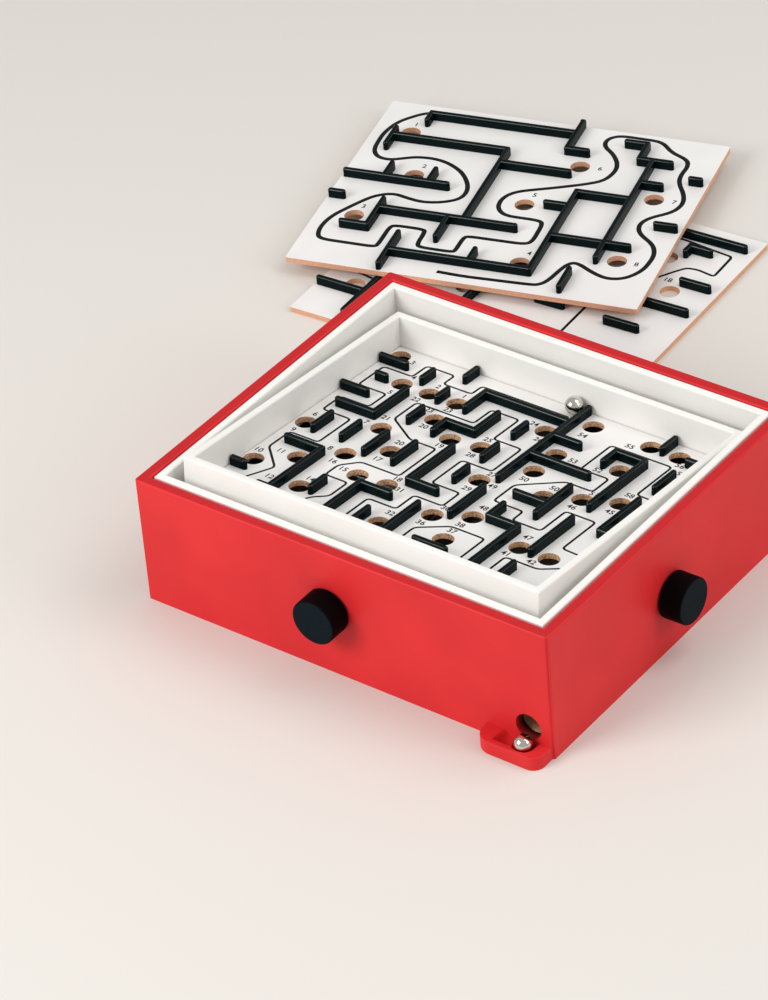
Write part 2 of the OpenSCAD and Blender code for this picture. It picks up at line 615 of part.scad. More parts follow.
// Balls: one in the start corner of the maze, one in the tray

module board_ball() color([0.8, 0.8, 0.82]) in_board_frame()
    translate([lane - maze_t / 2 - rest_gap - ball_d / 2, well_y - rest_gap - ball_d / 2,
        board_top + ball_d / 2 + 0.1]) sphere(d = ball_d, $fn = 64);

module tray_ball() color([0.8, 0.8, 0.82])
    translate([exit_x, -hd - rest_gap - ball_d / 2, tray_floor + ball_d / 2 + 0.1])
        sphere(d = ball_d, $fn = 64);

// Spare boards on the table behind the box

function spare_spots(spots) = [for (s = spots) [spare_x * s[0], spare_y * s[1]]];
module on_lower() translate([lower_x, lower_y, 0]) rotate([0, 0, lower_turn]) children();
module on_upper() translate([upper_x, upper_y, upper_z]) rotate([0, 0, upper_turn]) children();

module lower_board() color([0.95, 0.95, 0.94]) on_lower() blank_board(spare_spots(lower_holes));
module lower_board_walls() color([0.05, 0.07, 0.06]) on_lower() translate([0, 0, board_t])
    maze_strips(lower_along, lower_across, spare_x, spare_x, spare_y);
module upper_board() color([0.95, 0.95, 0.94]) on_upper() blank_board(spare_spots(upper_holes));
module upper_board_walls() color([0.05, 0.07, 0.06]) on_upper() translate([0, 0, board_t])
    maze_strips(upper_along, upper_across, spare_x, spare_x, spare_y);

front_wall();
back_wall();
left_wall();
right_wall();
base_panel();
base_pins();
return_floor();
floor_blocks();
ball_tray();
front_shaft_bushes();
side_shaft_bushes();
outer_rail_front();
outer_rail_back();
outer_rail_left();
outer_rail_right();
outer_pivot_pins();
outer_cord_eyes();
inner_rail_front();
inner_rail_back();
inner_rail_left();
inner_rail_right();
board_ledges();
inner_pivot_pins();
inner_cord_eyes();
maze_board();
maze_walls();
front_shaft();
front_knob();
front_shaft_clips();
side_shaft();
side_knob();
side_shaft_clips();
outer_cord();
outer_cord_spring();
inner_cord();
inner_cord_spring();
board_ball();
tray_ball();
lower_board();
lower_board_walls();
upper_board();
upper_board_walls();
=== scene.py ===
import json
import math

import bmesh
import bpy
from mathutils import Matrix, Vector
from mathutils.bvhtree import BVHTree


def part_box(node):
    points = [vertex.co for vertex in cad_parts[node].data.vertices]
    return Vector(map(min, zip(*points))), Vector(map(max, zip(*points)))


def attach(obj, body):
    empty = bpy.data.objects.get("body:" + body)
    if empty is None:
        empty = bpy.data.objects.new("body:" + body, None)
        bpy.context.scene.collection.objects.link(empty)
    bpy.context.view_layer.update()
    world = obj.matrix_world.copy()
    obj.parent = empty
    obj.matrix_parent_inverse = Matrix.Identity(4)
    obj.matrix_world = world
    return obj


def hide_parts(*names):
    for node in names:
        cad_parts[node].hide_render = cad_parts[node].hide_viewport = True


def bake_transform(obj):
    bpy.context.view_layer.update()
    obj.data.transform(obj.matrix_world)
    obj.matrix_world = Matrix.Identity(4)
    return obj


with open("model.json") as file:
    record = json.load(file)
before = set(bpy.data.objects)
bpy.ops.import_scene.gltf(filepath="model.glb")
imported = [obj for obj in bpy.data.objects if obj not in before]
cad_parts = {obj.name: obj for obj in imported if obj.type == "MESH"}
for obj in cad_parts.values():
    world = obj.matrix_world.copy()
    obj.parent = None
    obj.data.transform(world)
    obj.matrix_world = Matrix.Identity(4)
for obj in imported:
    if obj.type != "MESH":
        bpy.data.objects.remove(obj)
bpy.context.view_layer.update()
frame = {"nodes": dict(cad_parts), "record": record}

# Box walls and ball tray: beech boards mitred at the corners, and a tray glued under the exit hole. The red
# lacquer is sprayed on: a faint orange peel, uneven colour, soft edges. The rim's top is drawn a darker red,
# painted shade. The walls inside, below the frames, get a dark painted shade, and the bore of the exit hole
# darkens towards the inside, painted shade in the hole.
MM = 0.001
RED_DEPTH = ((0.35, "D0282C"), (0.65, "DB2C2F"))
# Painted shade: the rim's top is drawn darker, and the walls inside and the exit bore are darkened.
RIM_SHADED_RED = "C01C22"
INSIDE_PAINTED_SHADE = "2A0D0B"
RIM_LEVEL = 94.9 * MM
INSIDE_HALF_WIDE = 152.5 * MM
INSIDE_HALF_DEEP = 131.5 * MM
INSIDE_LEVEL = 64 * MM
BORE_MOUTH = (142 * MM, -129 * MM, 19 * MM)
BORE_SHADE_REACH = (10 * MM, 13.5 * MM)
WALL_EASE = 0.7 * MM
TRAY_EASE = 0.6 * MM
CORNER_ROUND = 1.6 * MM
ROUND_CUTS = 4
FLAT_AREA = 200 * MM * MM
NO_DISTANCE = 0.001 * MM
FACING = 0.9
SHARP_FOLD = math.radians(60)
SOFT_FOLD = math.radians(35)
FLAT_FOLD = math.radians(0.5)


def linear(hex_colour):
    """sRGB hex to linear RGBA."""
    channels = [int(hex_colour[i:i + 2], 16) / 255 for i in (0, 2, 4)]
    return [c / 12.92 if c <= 0.04045 else ((c + 0.055) / 1.055) ** 2.4 for c in channels] + [1.0]


def join(tree, node, inputs):
    """Sets or links the inputs of a node."""
    for name, value in inputs.items():
        if isinstance(value, bpy.types.NodeSocket):
            tree.links.new(value, node.inputs[name])
        else:
            node.inputs[name].default_value = value


def add(tree, kind, inputs, stops=(), **settings):
    """Adds a node with its settings, its colour stops and its inputs."""
    node = tree.nodes.new(kind)
    for name, value in settings.items():
        setattr(node, name, value)
    for index, (position, colour) in enumerate(stops):
        node.color_ramp.elements[index].position = position
        node.color_ramp.elements[index].color = linear(colour)
    join(tree, node, inputs)
    return node


def start_material(name):
    """A new material with its tree, its shader and its texture coordinates."""
    material = bpy.data.materials.new(name)
    material.use_nodes = True
    tree = material.node_tree
    return material, tree, tree.nodes["Principled BSDF"], tree.nodes.new("ShaderNodeTexCoord").outputs


def per_mm(size):
    """Noise scale that gives features of about this size in millimetres."""
    return 1 / (size * MM)


def add_piece(name, mesh, material):
    """Links a finished mesh as an object with its material."""
    piece = bpy.data.objects.new(name, mesh)
    bpy.context.collection.objects.link(piece)
    mesh.materials.clear()
    mesh.materials.append(material)
    return piece


def merged_copy(node):
    """A copy of a CAD node's mesh with its flat faces made whole."""
    shape = bmesh.new()
    shape.from_mesh(frame["nodes"][node].data)
    bmesh.ops.remove_doubles(shape, verts=shape.verts, dist=NO_DISTANCE)
    bmesh.ops.dissolve_limit(shape, angle_limit=FLAT_FOLD, verts=shape.verts, edges=shape.edges)
    return shape


def eased_piece(node, name, shape, edges, ease, material, body):
    """Rounds edges of a copy of a CAD node, which then stands for the node."""
    bmesh.ops.bevel(shape, geom=edges, offset=ease, segments=ROUND_CUTS, profile=0.5, affect="EDGES",
                    material=-1)
    mesh = bpy.data.meshes.new(name)
    shape.to_mesh(mesh)
    shape.free()
    mesh.shade_smooth()
    mesh.set_sharp_from_angle(angle=SOFT_FOLD)
    for polygon in mesh.polygons:
        polygon.use_smooth = polygon.area < FLAT_AREA
    piece = add_piece(name, mesh, material)
    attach(piece, body)
    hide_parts(node)
    return mesh


def round_corners(mesh, along, across, end, face):
    """Bends both ends of a wall's outer face into half of a round corner, up to the mitre."""
    for vertex in mesh.vertices:
        past = abs(vertex.co[along]) - (end - CORNER_ROUND)
        reach = CORNER_ROUND - (face - abs(vertex.co[across]))
        if past > 0 and reach > NO_DISTANCE:
            angle = math.pi / 4 * past / reach
            lengthwise = end - CORNER_ROUND + reach * math.sin(angle)
            outward = face - CORNER_ROUND + reach * math.cos(angle)
            vertex.co[along] = math.copysign(lengthwise, vertex.co[along])
            vertex.co[across] = math.copysign(outward, vertex.co[across])


red_lacquer, tree, shader, place = start_material("sprayed_red_lacquer")
cloud = add(tree, "ShaderNodeTexNoise", {"Vector": place["Object"], "Scale": per_mm(70), "Detail": 2.0})
depth = add(tree, "ShaderNodeValToRGB", {"Fac": cloud.outputs["Fac"]}, stops=RED_DEPTH)
peel = add(tree, "ShaderNodeTexNoise", {"Vector": place["Object"], "Scale": per_mm(2.5), "Detail": 1.0})
orange_peel = add(tree, "ShaderNodeBump", {"Height": peel.outputs["Fac"], "Strength": 0.06,
                                           "Distance": 0.2 * MM})
spot = add(tree, "ShaderNodeSeparateXYZ", {"Vector": place["Object"]})
in_width = add(tree, "ShaderNodeMath", {0: spot.outputs["X"], 1: 0.0, 2: INSIDE_HALF_WIDE},
               operation="COMPARE")
in_depth = add(tree, "ShaderNodeMath", {0: spot.outputs["Y"], 1: 0.0, 2: INSIDE_HALF_DEEP},
               operation="COMPARE")
below = add(tree, "ShaderNodeMath", {0: spot.outputs["Z"], 1: INSIDE_LEVEL}, operation="LESS_THAN")
within = add(tree, "ShaderNodeMath", {0: in_width.outputs["Value"], 1: in_depth.outputs["Value"]},
             operation="MULTIPLY")
inside = add(tree, "ShaderNodeMath", {0: within.outputs["Value"], 1: below.outputs["Value"]},
             operation="MULTIPLY")
# Painted shade in the exit bore, darkest near its inner mouth and fading out towards the outer face.
off_mouth = add(tree, "ShaderNodeVectorMath", {0: place["Object"], 1: BORE_MOUTH}, operation="DISTANCE")
bore_shade = add(tree, "ShaderNodeMapRange", {"Value": off_mouth.outputs["Value"], "From Min": BORE_SHADE_REACH[0],
                                           "From Max": BORE_SHADE_REACH[1], "To Min": 1.0, "To Max": 0.0})
painted_shade = add(tree, "ShaderNodeMath", {0: inside.outputs["Value"], 1: bore_shade.outputs["Result"]},
              operation="MAXIMUM")
# Painted shade on the rim's top.
on_rim = add(tree, "ShaderNodeMath", {0: spot.outputs["Z"], 1: RIM_LEVEL}, operation="GREATER_THAN")
outside = add(tree, "ShaderNodeMix", {"Factor": on_rim.outputs["Value"], "A": depth.outputs["Color"],
                                      "B": linear(RIM_SHADED_RED)}, data_type="RGBA")
lacquer_and_shade = add(tree, "ShaderNodeMix", {"Factor": painted_shade.outputs["Value"], "A": outside.outputs["Result"],
                                   "B": linear(INSIDE_PAINTED_SHADE)}, data_type="RGBA")
join(tree, shader, {"Base Color": lacquer_and_shade.outputs["Result"], "Normal": orange_peel.outputs["Normal"],
                    "Roughness": 0.45, "Specular IOR Level": 0.2})

for wall, along, across in (("front_wall", 0, 1), ("back_wall", 0, 1),
                            ("left_wall", 1, 0), ("right_wall", 1, 0)):
    board = merged_copy(wall)
    low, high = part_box(wall)
    end = high[along]
    face = max(abs(low[across]), abs(high[across]))
    for cut in range(ROUND_CUTS):
        for side in (-1, 1):
            at, square = Vector(), Vector()
            at[along] = side * (end - CORNER_ROUND * (1 - cut / ROUND_CUTS))
            square[along] = 1
            bmesh.ops.bisect_plane(board, geom=board.verts[:] + board.edges[:] + board.faces[:],
                                   plane_co=at, plane_no=square)
    arrises = [e for e in board.edges if len(e.link_faces) == 2 and min(v.co.z for v in e.verts) > RIM_LEVEL
               and max(f.normal.z for f in e.link_faces) > FACING
               and any(max(abs(f.normal.x), abs(f.normal.y)) > FACING for f in e.link_faces)]
    mesh = eased_piece(wall, wall + "_eased", board, arrises, WALL_EASE, red_lacquer, "box")
    round_corners(mesh, along, across, end, face)

tray = merged_copy("ball_tray")
sharp = [e for e in tray.edges if len(e.link_faces) == 2 and e.calc_face_angle() > SHARP_FOLD
         and e.is_convex and max(f.normal.y for f in e.link_faces) < FACING
         and min(f.normal.z for f in e.link_faces) > -FACING]
eased_piece("ball_tray", "ball_tray_eased", tray, sharp, TRAY_EASE, red_lacquer, "box")

# Base panel and the corner blocks under the return floor: bare hardboard and softwood, pinned and glued
# inside the box. Pressed fibres show as short dark and light flecks.
BARE_FIBRES = ((0.3, "B07A54"), (0.7, "D69C72"))
FIBRE_SCALE = per_mm(1.5)


def finish_node(node, material):
    """Gives a CAD node its finish."""
    mesh = frame["nodes"][node].data
    mesh.materials.clear()
    mesh.materials.append(material)


bare_board, tree, shader, place = start_material("bare_hardboard")
fibres = add(tree, "ShaderNodeTexNoise", {"Vector": place["Object"], "Scale": FIBRE_SCALE, "Detail": 4.0})
fleck = add(tree, "ShaderNodeValToRGB", {"Fac": fibres.outputs["Fac"]}, stops=BARE_FIBRES)
join(tree, shader, {"Base Color": fleck.outputs["Color"], "Roughness": 0.75})
for board in ("base_panel", "floor_blocks"):
    finish_node(board, bare_board)

# Return floor: a hardboard panel on the blocks, sloping to the exit hole. Away from the exit hole it is
# drawn dark, painted shade inside the closed box, so that the holes of the maze look deep; near the exit
# hole it keeps the bare fibre colour.
SHADED_FIBRES = ((0.3, "463E36"), (0.7, "5E554B"))
EXIT_SPOT = (142 * MM, -125 * MM, 11 * MM)
UNSHADED_REACH = (16 * MM, 30 * MM)
floor_finish, tree, shader, place = start_material("hardboard_with_painted_shade")
fibres = add(tree, "ShaderNodeTexNoise", {"Vector": place["Object"], "Scale": FIBRE_SCALE, "Detail": 4.0})
dark = add(tree, "ShaderNodeValToRGB", {"Fac": fibres.outputs["Fac"]}, stops=SHADED_FIBRES)
bare = add(tree, "ShaderNodeValToRGB", {"Fac": fibres.outputs["Fac"]}, stops=BARE_FIBRES)
# Painted shade: dark fibre colour away from the exit hole, fading to the bare colour near it.
off_exit = add(tree, "ShaderNodeVectorMath", {0: place["Object"], 1: EXIT_SPOT}, operation="DISTANCE")
floor_shade = add(tree, "ShaderNodeMapRange", {"Value": off_exit.outputs["Value"], "From Min": UNSHADED_REACH[0],
                                         "From Max": UNSHADED_REACH[1]})
panel = add(tree, "ShaderNodeMix", {"Factor": floor_shade.outputs["Result"], "A": bare.outputs["Color"],
                                    "B": dark.outputs["Color"]}, data_type="RGBA")
join(tree, shader, {"Base Color": panel.outputs["Result"], "Roughness": 0.75})
finish_node("return_floor", floor_finish)

# Shafts, pins and clips: drawn bright steel rod, cut to length and pressed in. Drawing and handling leave
# an uneven sheen, in patches of about 1 mm.
bright_steel, tree, shader, place = start_material("drawn_bright_steel")
lines = add(tree, "ShaderNodeTexNoise", {"Vector": place["Object"], "Scale": per_mm(1.0), "Detail": 2.0})
sheen = add(tree, "ShaderNodeMapRange", {"Value": lines.outputs["Fac"], "To Min": 0.22, "To Max": 0.38})
join(tree, shader, {"Base Color": linear("B9BABD"), "Metallic": 1.0, "Roughness": sheen.outputs["Result"]})
for rod in ("base_pins", "front_shaft", "side_shaft", "front_shaft_clips", "side_shaft_clips",
            "outer_pivot_pins", "inner_pivot_pins"):
    finish_node(rod, bright_steel)

# Shaft bushes: flanged sleeves turned from black plastic and pressed into the walls. Turning leaves them
# a little duller in some spots than in others.
turned_plastic, tree, shader, place = start_material("turned_black_plastic")
marks = add(tree, "ShaderNodeTexNoise", {"Vector": place["Object"], "Scale": per_mm(0.8), "Detail": 2.0})
dull = add(tree, "ShaderNodeMapRange", {"Value": marks.outputs["Fac"], "To Min": 0.4, "To Max": 0.6})
join(tree, shader, {"Base Color": linear("1B1C1D"), "Roughness": dull.outputs["Result"]})
for bushes in ("front_shaft_bushes", "side_shaft_bushes"):
    finish_node(bushes, turned_plastic)

# Cord eyes: bent brass wire screwed into the undersides of the frame rails. A little tarnish dulls the
# wire in patches.
brass_wire, tree, shader, place = start_material("drawn_brass_wire")
tarnish = add(tree, "ShaderNodeTexNoise", {"Vector": place["Object"], "Scale": per_mm(3), "Detail": 3.0})
dull = add(tree, "ShaderNodeMapRange", {"Value": tarnish.outputs["Fac"], "To Min": 0.2, "To Max": 0.4})
join(tree, shader, {"Base Color": linear("C9A45A"), "Metallic": 1.0, "Roughness": dull.outputs["Result"]})
for eyes in ("outer_cord_eyes", "inner_cord_eyes"):
    finish_node(eyes, brass_wire)

# Outer and inner frame, with the ledges that carry the board: planed wood rails, mitred, glued and painted
# a warm satin white. The brush leaves a soft unevenness, and the paint is a little greyer in some places.
PAINT = ((0.3, "EEECE7"), (0.7, "F3F1ED"))
frame_white, tree, shader, place = start_material("satin_white_paint")
cloud = add(tree, "ShaderNodeTexNoise", {"Vector": place["Object"], "Scale": per_mm(50), "Detail": 3.0})
depth = add(tree, "ShaderNodeValToRGB", {"Fac": cloud.outputs["Fac"]}, stops=PAINT)
brush = add(tree, "ShaderNodeTexNoise", {"Vector": place["Object"], "Scale": per_mm(3), "Detail": 2.0})
strokes = add(tree, "ShaderNodeBump", {"Height": brush.outputs["Fac"], "Strength": 0.05,
                                       "Distance": 0.2 * MM})
join(tree, shader, {"Base Color": depth.outputs["Color"], "Normal": strokes.outputs["Normal"],
                    "Roughness": 0.4})
for side in ("front", "back", "left", "right"):
    finish_node("outer_rail_" + side, frame_white)
    finish_node("inner_rail_" + side, frame_white)
finish_node("board_ledges", frame_white)

# Maze boards: fibreboard faced with white laminate on top and sawn to size. The sawn edges and the drilled
# holes show the raw orange-brown fibre, which is more broken up in the maze, where the drill tore it. The
# face is smooth with a low sheen.
LAMINATE = ((0.3, "EBE9E7"), (0.7, "F1EFED"))
DRILLED_FIBRE = ((0.4, "B5845C"), (0.6, "ECC29A"))
SAWN_FIBRE = ((0.2, "CC9775"), (0.8, "E6B592"))
TOP_FACING = 0.7
for board, fibre_look in (("maze_board", DRILLED_FIBRE), ("lower_board", SAWN_FIBRE),
                          ("upper_board", SAWN_FIBRE)):
    board_finish, tree, shader, place = start_material("laminated_fibreboard_" + board)
    facing = add(tree, "ShaderNodeSeparateXYZ", {"Vector": place["Normal"]})
    on_face = add(tree, "ShaderNodeMath", {0: facing.outputs["Z"], 1: TOP_FACING}, operation="GREATER_THAN")
    fibres = add(tree, "ShaderNodeTexNoise", {"Vector": place["Object"], "Scale": per_mm(1.2),
                                              "Detail": 4.0})
    fibre = add(tree, "ShaderNodeValToRGB", {"Fac": fibres.outputs["Fac"]}, stops=fibre_look)
    cloud = add(tree, "ShaderNodeTexNoise", {"Vector": place["Object"], "Scale": per_mm(40), "Detail": 2.0})
    white = add(tree, "ShaderNodeValToRGB", {"Fac": cloud.outputs["Fac"]}, stops=LAMINATE)
    skin = add(tree, "ShaderNodeMix", {"Factor": on_face.outputs["Value"], "A": fibre.outputs["Color"],
                                       "B": white.outputs["Color"]}, data_type="RGBA")
    dull = add(tree, "ShaderNodeMapRange", {"Value": on_face.outputs["Value"], "To Min": 0.8, "To Max": 0.3})
    join(tree, shader, {"Base Color": skin.outputs["Result"], "Roughness": dull.outputs["Result"]})
    finish_node(board, board_finish)

# Maze walls: strips of wood glued on the boards and lacquered black. Their edges are well rounded. The faces
# of the rounding that slope partly up get a far stronger reflection than the rest, a painted sheen that
# draws thin bright lines, and the other faces reflect less than lacquer does, which keeps them painted dark.
# The lacquer fills the butt joints, so an end that butts against another strip is drawn sunk into it.
BOARD_TILT = math.radians(5.5)
BOARD_UP = Vector((0, math.sin(BOARD_TILT), math.cos(BOARD_TILT)))
TABLE_UP = Vector((0, 0, 1))
STRIP_EASE = 1.4 * MM
STRIP_SINK = 1.5 * MM
END_AREA = (20 * MM * MM, 30 * MM * MM)
UPRIGHT_FACING = 0.1
UNDER_FACING = -0.5
BUTT_GAP = 0.2 * MM
PROBE_OFF = 0.01 * MM
EDGE_FACING = (0.28, 0.92)
lacquers = []
for name, shine in (("black_lacquer_dimmed_reflection", 0.04), ("black_lacquer_painted_edge_sheen", 0.42)):
    lacquer, tree, shader, place = start_material(name)
    grain = add(tree, "ShaderNodeTexNoise", {"Vector": place["Object"], "Scale": per_mm(4), "Detail": 3.0})
    gloss = add(tree, "ShaderNodeMapRange", {"Value": grain.outputs["Fac"], "To Min": 0.16, "To Max": 0.26})
    join(tree, shader, {"Base Color": linear("041213"), "Roughness": gloss.outputs["Result"],
                        "Specular IOR Level": shine})
    lacquers.append(lacquer)
for node, name, up, body in (("maze_walls", "maze_strips", BOARD_UP, "maze"),
                             ("lower_board_walls", "lower_spare_strips", TABLE_UP, "lower_spare"),
                             ("upper_board_walls", "upper_spare_strips", TABLE_UP, "upper_spare")):
    strips = merged_copy(node)
    others = BVHTree.FromBMesh(strips)
    ends = [f for f in strips.faces
            if END_AREA[0] < f.calc_area() < END_AREA[1] and abs(f.normal.dot(up)) < UPRIGHT_FACING]
    butted = [f for f in ends
              if others.ray_cast(f.calc_center_median() + f.normal * PROBE_OFF, f.normal, BUTT_GAP)[0]]
    for face in butted:
        bmesh.ops.translate(strips, verts=face.verts, vec=face.normal * STRIP_SINK)
    free_edges = [e for e in strips.edges if len(e.link_faces) == 2 and not set(e.link_faces) & set(butted)
                  and e.calc_face_angle() > SHARP_FOLD
                  and min(f.normal.dot(up) for f in e.link_faces) > UNDER_FACING]
    mesh = eased_piece(node, name, strips, free_edges, STRIP_EASE, lacquers[0], body)
    # Painted sheen: the faces of the rounding that slope partly up take the shinier copy of the lacquer.
    mesh.materials.append(lacquers[1])
    for polygon in mesh.polygons:
        polygon.material_index = int(EDGE_FACING[0] < polygon.normal.z < EDGE_FACING[1])

# Printed track and numbers: screen-printed black ink on the laminate, a film far thinner than it is drawn
# here. The numbers are plain figures that count the holes along the track.
INK_HIGH = 0.05 * MM
FIGURE_SIZE = 6.6 * MM
FIGURE_BOLD = 0.1 * MM
TURN_STEPS = 4
SHARP_TURN = 3
SOFT_TURN = 8
LEG_PARTS = 2.1
BOARD_THICK = Vector((0, 0, 4 * MM))
BOARD_DROP = Vector((0, 0, -8 * MM))
PLACES = {joint["name"]: Vector(joint["pos_m"]) for joint in frame["record"]["behaviour"]["joints"]}
MAZE_TOP = (Matrix.Translation(PLACES["inner_tilt"]) @ Matrix.Rotation(-BOARD_TILT, 4, "X")
            @ Matrix.Translation(BOARD_DROP))
LOWER_TOP = (Matrix.Translation(PLACES["lower_spare_lift"] + BOARD_THICK)
             @ Matrix.Rotation(math.radians(3.8), 4, "Z"))
UPPER_TOP = (Matrix.Translation(PLACES["upper_spare_lift"] + BOARD_THICK)
             @ Matrix.Rotation(math.radians(15.4), 4, "Z"))


def rounded(corners, turn):
    """The corners of a line in mm, each sharp one replaced by a small curve."""
    path = [Vector(corners[0])]
    for before, here, after in zip(corners, corners[1:], corners[2:]):
        a, b, c = Vector(before), Vector(here), Vector(after)
        start = b + (a - b).normalized() * min(turn, (a - b).length / LEG_PARTS)
        end = b + (c - b).normalized() * min(turn, (c - b).length / LEG_PARTS)
        for step in range(TURN_STEPS + 1):
            t = step / TURN_STEPS
            path.append((1 - t) ** 2 * start + 2 * t * (1 - t) * b + t ** 2 * end)
    return path + [Vector(corners[-1])]


def curve_mesh(curve):
    """The mesh of a curve or text, which is then thrown away."""
    holder = bpy.data.objects.new("holder", curve)
    bpy.context.collection.objects.link(holder)
    bpy.context.view_layer.update()
    mesh = bpy.data.meshes.new_from_object(holder.evaluated_get(bpy.context.evaluated_depsgraph_get()))
    bpy.data.objects.remove(holder)
    return mesh


def tube(name, points, thick, fineness):
    """The mesh of a round tube along points in mm."""
    curve = bpy.data.curves.new(name, "CURVE")
    curve.dimensions = "3D"
    curve.fill_mode = "FULL"
    curve.bevel_depth = thick / 2
    curve.bevel_resolution = fineness
    curve.use_fill_caps = True
    line = curve.splines.new("POLY")
    line.points.add(len(points) - 1)
    for point, at in zip(line.points, points):
        point.co = (*(Vector(at).to_3d() * MM), 1)
    return curve_mesh(curve)


def add_print(name, mesh, body):
    """Links a finished print as a piece that rides on its board."""
    piece = add_piece(name, mesh, ink)
    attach(piece, body)


def printed_track(name, corners, top, body, wide, turn):
    """A line printed along the corners, as a low flat bead on the board's face."""
    mesh = tube(name, rounded(corners, turn), wide, fineness=1)
    mesh.transform(Matrix.Diagonal((1, 1, INK_HIGH / wide * 2, 1)))
    mesh.transform(top)
    add_print(name, mesh, body)


def printed_figures(name, figures, top, body):
    """Numbers printed on the board's face, made one mesh."""
    shape = bmesh.new()
    for figure, x, y in figures:
        text = bpy.data.curves.new("figure", "FONT")
        text.body = str(figure)
        text.size = FIGURE_SIZE
        text.align_x = "CENTER"
        text.align_y = "CENTER"
        text.extrude = INK_HIGH
        text.offset = FIGURE_BOLD
        text.resolution_u = 3
        mesh = curve_mesh(text)
        mesh.transform(top @ Matrix.Translation((x * MM, y * MM, 0)))
        shape.from_mesh(mesh)
        bpy.data.meshes.remove(mesh)
    mesh = bpy.data.meshes.new(name)
    shape.to_mesh(mesh)
    shape.free()
    add_print(name, mesh, body)


ink, tree, shader, place = start_material("screen_printed_black_ink")
film = add(tree, "ShaderNodeTexNoise", {"Vector": place["Object"], "Scale": per_mm(2), "Detail": 2.0})
dull = add(tree, "ShaderNodeMapRange", {"Value": film.outputs["Fac"], "To Min": 0.4, "To Max": 0.55})
join(tree, shader, {"Base Color": linear("16191A"), "Roughness": dull.outputs["Result"],
                    "Specular IOR Level": 0.1})

printed_track("maze_track", [
    (13, 97), (13, 98), (-56, 98), (-56, 86), (-79, 86), (-79, 99), (-101.5, 99), (-101.5, 82),
    (-125, 82), (-125, 53.5), (-102, 53.5), (-102, 34), (-125, 34), (-125, 14), (-102, 14), (-102, -21.5),
    (-125, -21.5), (-125, -44), (-106, -62.5), (-113, -79), (-116, -86), (-116, -94), (-110, -101),
    (-76, -101), (-70, -90), (-65, -78.5), (-56, -70.5), (-56, -51), (-74, -51), (-74, -37), (-64, -25.5),
    (-34, -25.5), (-34, 15.5), (-55, 15.5), (-79, 31), (-79, 56), (-33, 56), (-33, 76.5), (-11, 76.5),
    (-11, 47), (11.5, 47), (11.5, 13.5), (-12, 13.5), (-12, -20), (10.2, -20), (10.2, -39), (-12, -39),
    (-12, -58.7), (-34, -58.7), (-34, -101), (10.5, -101), (10.5, -70), (29, -55.7), (55, -55.7),
    (55, -101), (77.5, -101), (77.5, -65.5), (102, -65.5), (113, -57), (122, -50), (122, -38), (101, -37),
    (101, 0.5), (78, 0.5), (78, -27.5), (56, -27.5), (56, -15), (33, -15), (33, 8), (58, 30), (78.5, 30),
    (78.5, 48.7), (56.5, 48.7), (56.5, 84), (103.5, 84), (103.5, 43), (125, 42.5)],
    MAZE_TOP, "maze", 1.7 * MM, SHARP_TURN)
printed_figures("maze_figures", [
    (3, -112, 97), (4, -100, 81.5), (2, -79.5, 81), (1, -58, 80.5), (22, -82, 59), (23, -56.5, 60),
    (23, -66.5, 53), (20, -57.5, 34), (21, -84, 28.5), (7, -91.5, 17), (20, -58, 8), (6, -125, 6),
    (5, -101.5, 57), (9, -125, -18), (8, -91, -23), (16, -80, -35), (11, -115, -44), (15, -68.5, -39),
    (10, -128, -51), (14, -78.5, -61), (12, -102, -73.5), (17, -58, -16.5), (25, -13, 44),
    (28, -11.5, 22), (19, -35, 20), (24, 0, 78), (26, 13.5, 63), (27, 14, 10), (54, 34, 84), (53, 47, 54),
    (50, 34, 17.5), (18, -32.5, -29), (31, -23.5, -39), (29, 10.5, -13), (49, 22.5, -1.5),
    (30, 13.5, -40), (36, 10.5, -63), (38, 32.5, -51), (37, 32.5, -60), (48, 33, -26), (32, -12, -65),
    (55, 67, 90), (56, 107, 88), (57, 113, 80), (52, 66.5, 53.5), (58, 100.5, 39.5), (45, 101, 16),
    (46, 78, 7), (51, 81, 28), (50, 56.5, 19), (47, 76, -39), (41, 75.5, -62), (42, 94, -61)],
    MAZE_TOP, "maze")
printed_track("upper_spare_track", [
    (-97, 101), (-105, 97), (-118, 83), (-123, 65), (-122, 42), (-116, 33), (-106, 31), (-97, 35),
    (-88, 39.5), (-75, 41), (-62, 38), (-48, 29), (-38, 15), (-34.5, 3), (-37, -7), (-48, -14),
    (-61, -17), (-73, -15), (-86, -11), (-98, -17), (-106, -28), (-119, -50), (-122, -65), (-120, -77),
    (-115, -81), (-75, -81), (-73, -78), (-73, -54), (-70, -51), (-48, -51), (-46, -54), (-46, -70),
    (-43, -73.5), (-18, -73.5), (-16.5, -71), (-16.5, -54), (-14, -51.5), (28, -51), (33, -47),
    (32.5, -22), (28, -19), (2, -19), (-6, -11), (-7.5, 0), (-4, 9), (3, 15), (25, 25), (45, 35),
    (57, 43), (61, 57), (59, 68), (52, 79), (44, 86), (41, 92), (42, 99), (49, 104.5), (82, 104),
    (92, 92), (107, 85), (110, 76), (108.5, 65), (110, 54), (119, 39), (122, 27), (118, 15), (104, 4),
    (99.5, -6), (103, -17), (118, -29), (123, -42), (121, -62), (112, -75), (100, -78.5), (88, -74),
    (75, -65.5), (69, -65), (65, -72), (60, -92), (55, -98), (48, -99), (0, -101), (-20, -100)],
    UPPER_TOP, "upper_spare", 3.6 * MM, SOFT_TURN)
printed_figures("upper_spare_figures", [
    (1, -103, 82), (2, -77, 29), (3, -101, -33), (4, 36, -61.5), (5, 14.5, 12), (6, 49, 57.5),
    (7, 115, 28), (8, 114, -56)],
    UPPER_TOP, "upper_spare")
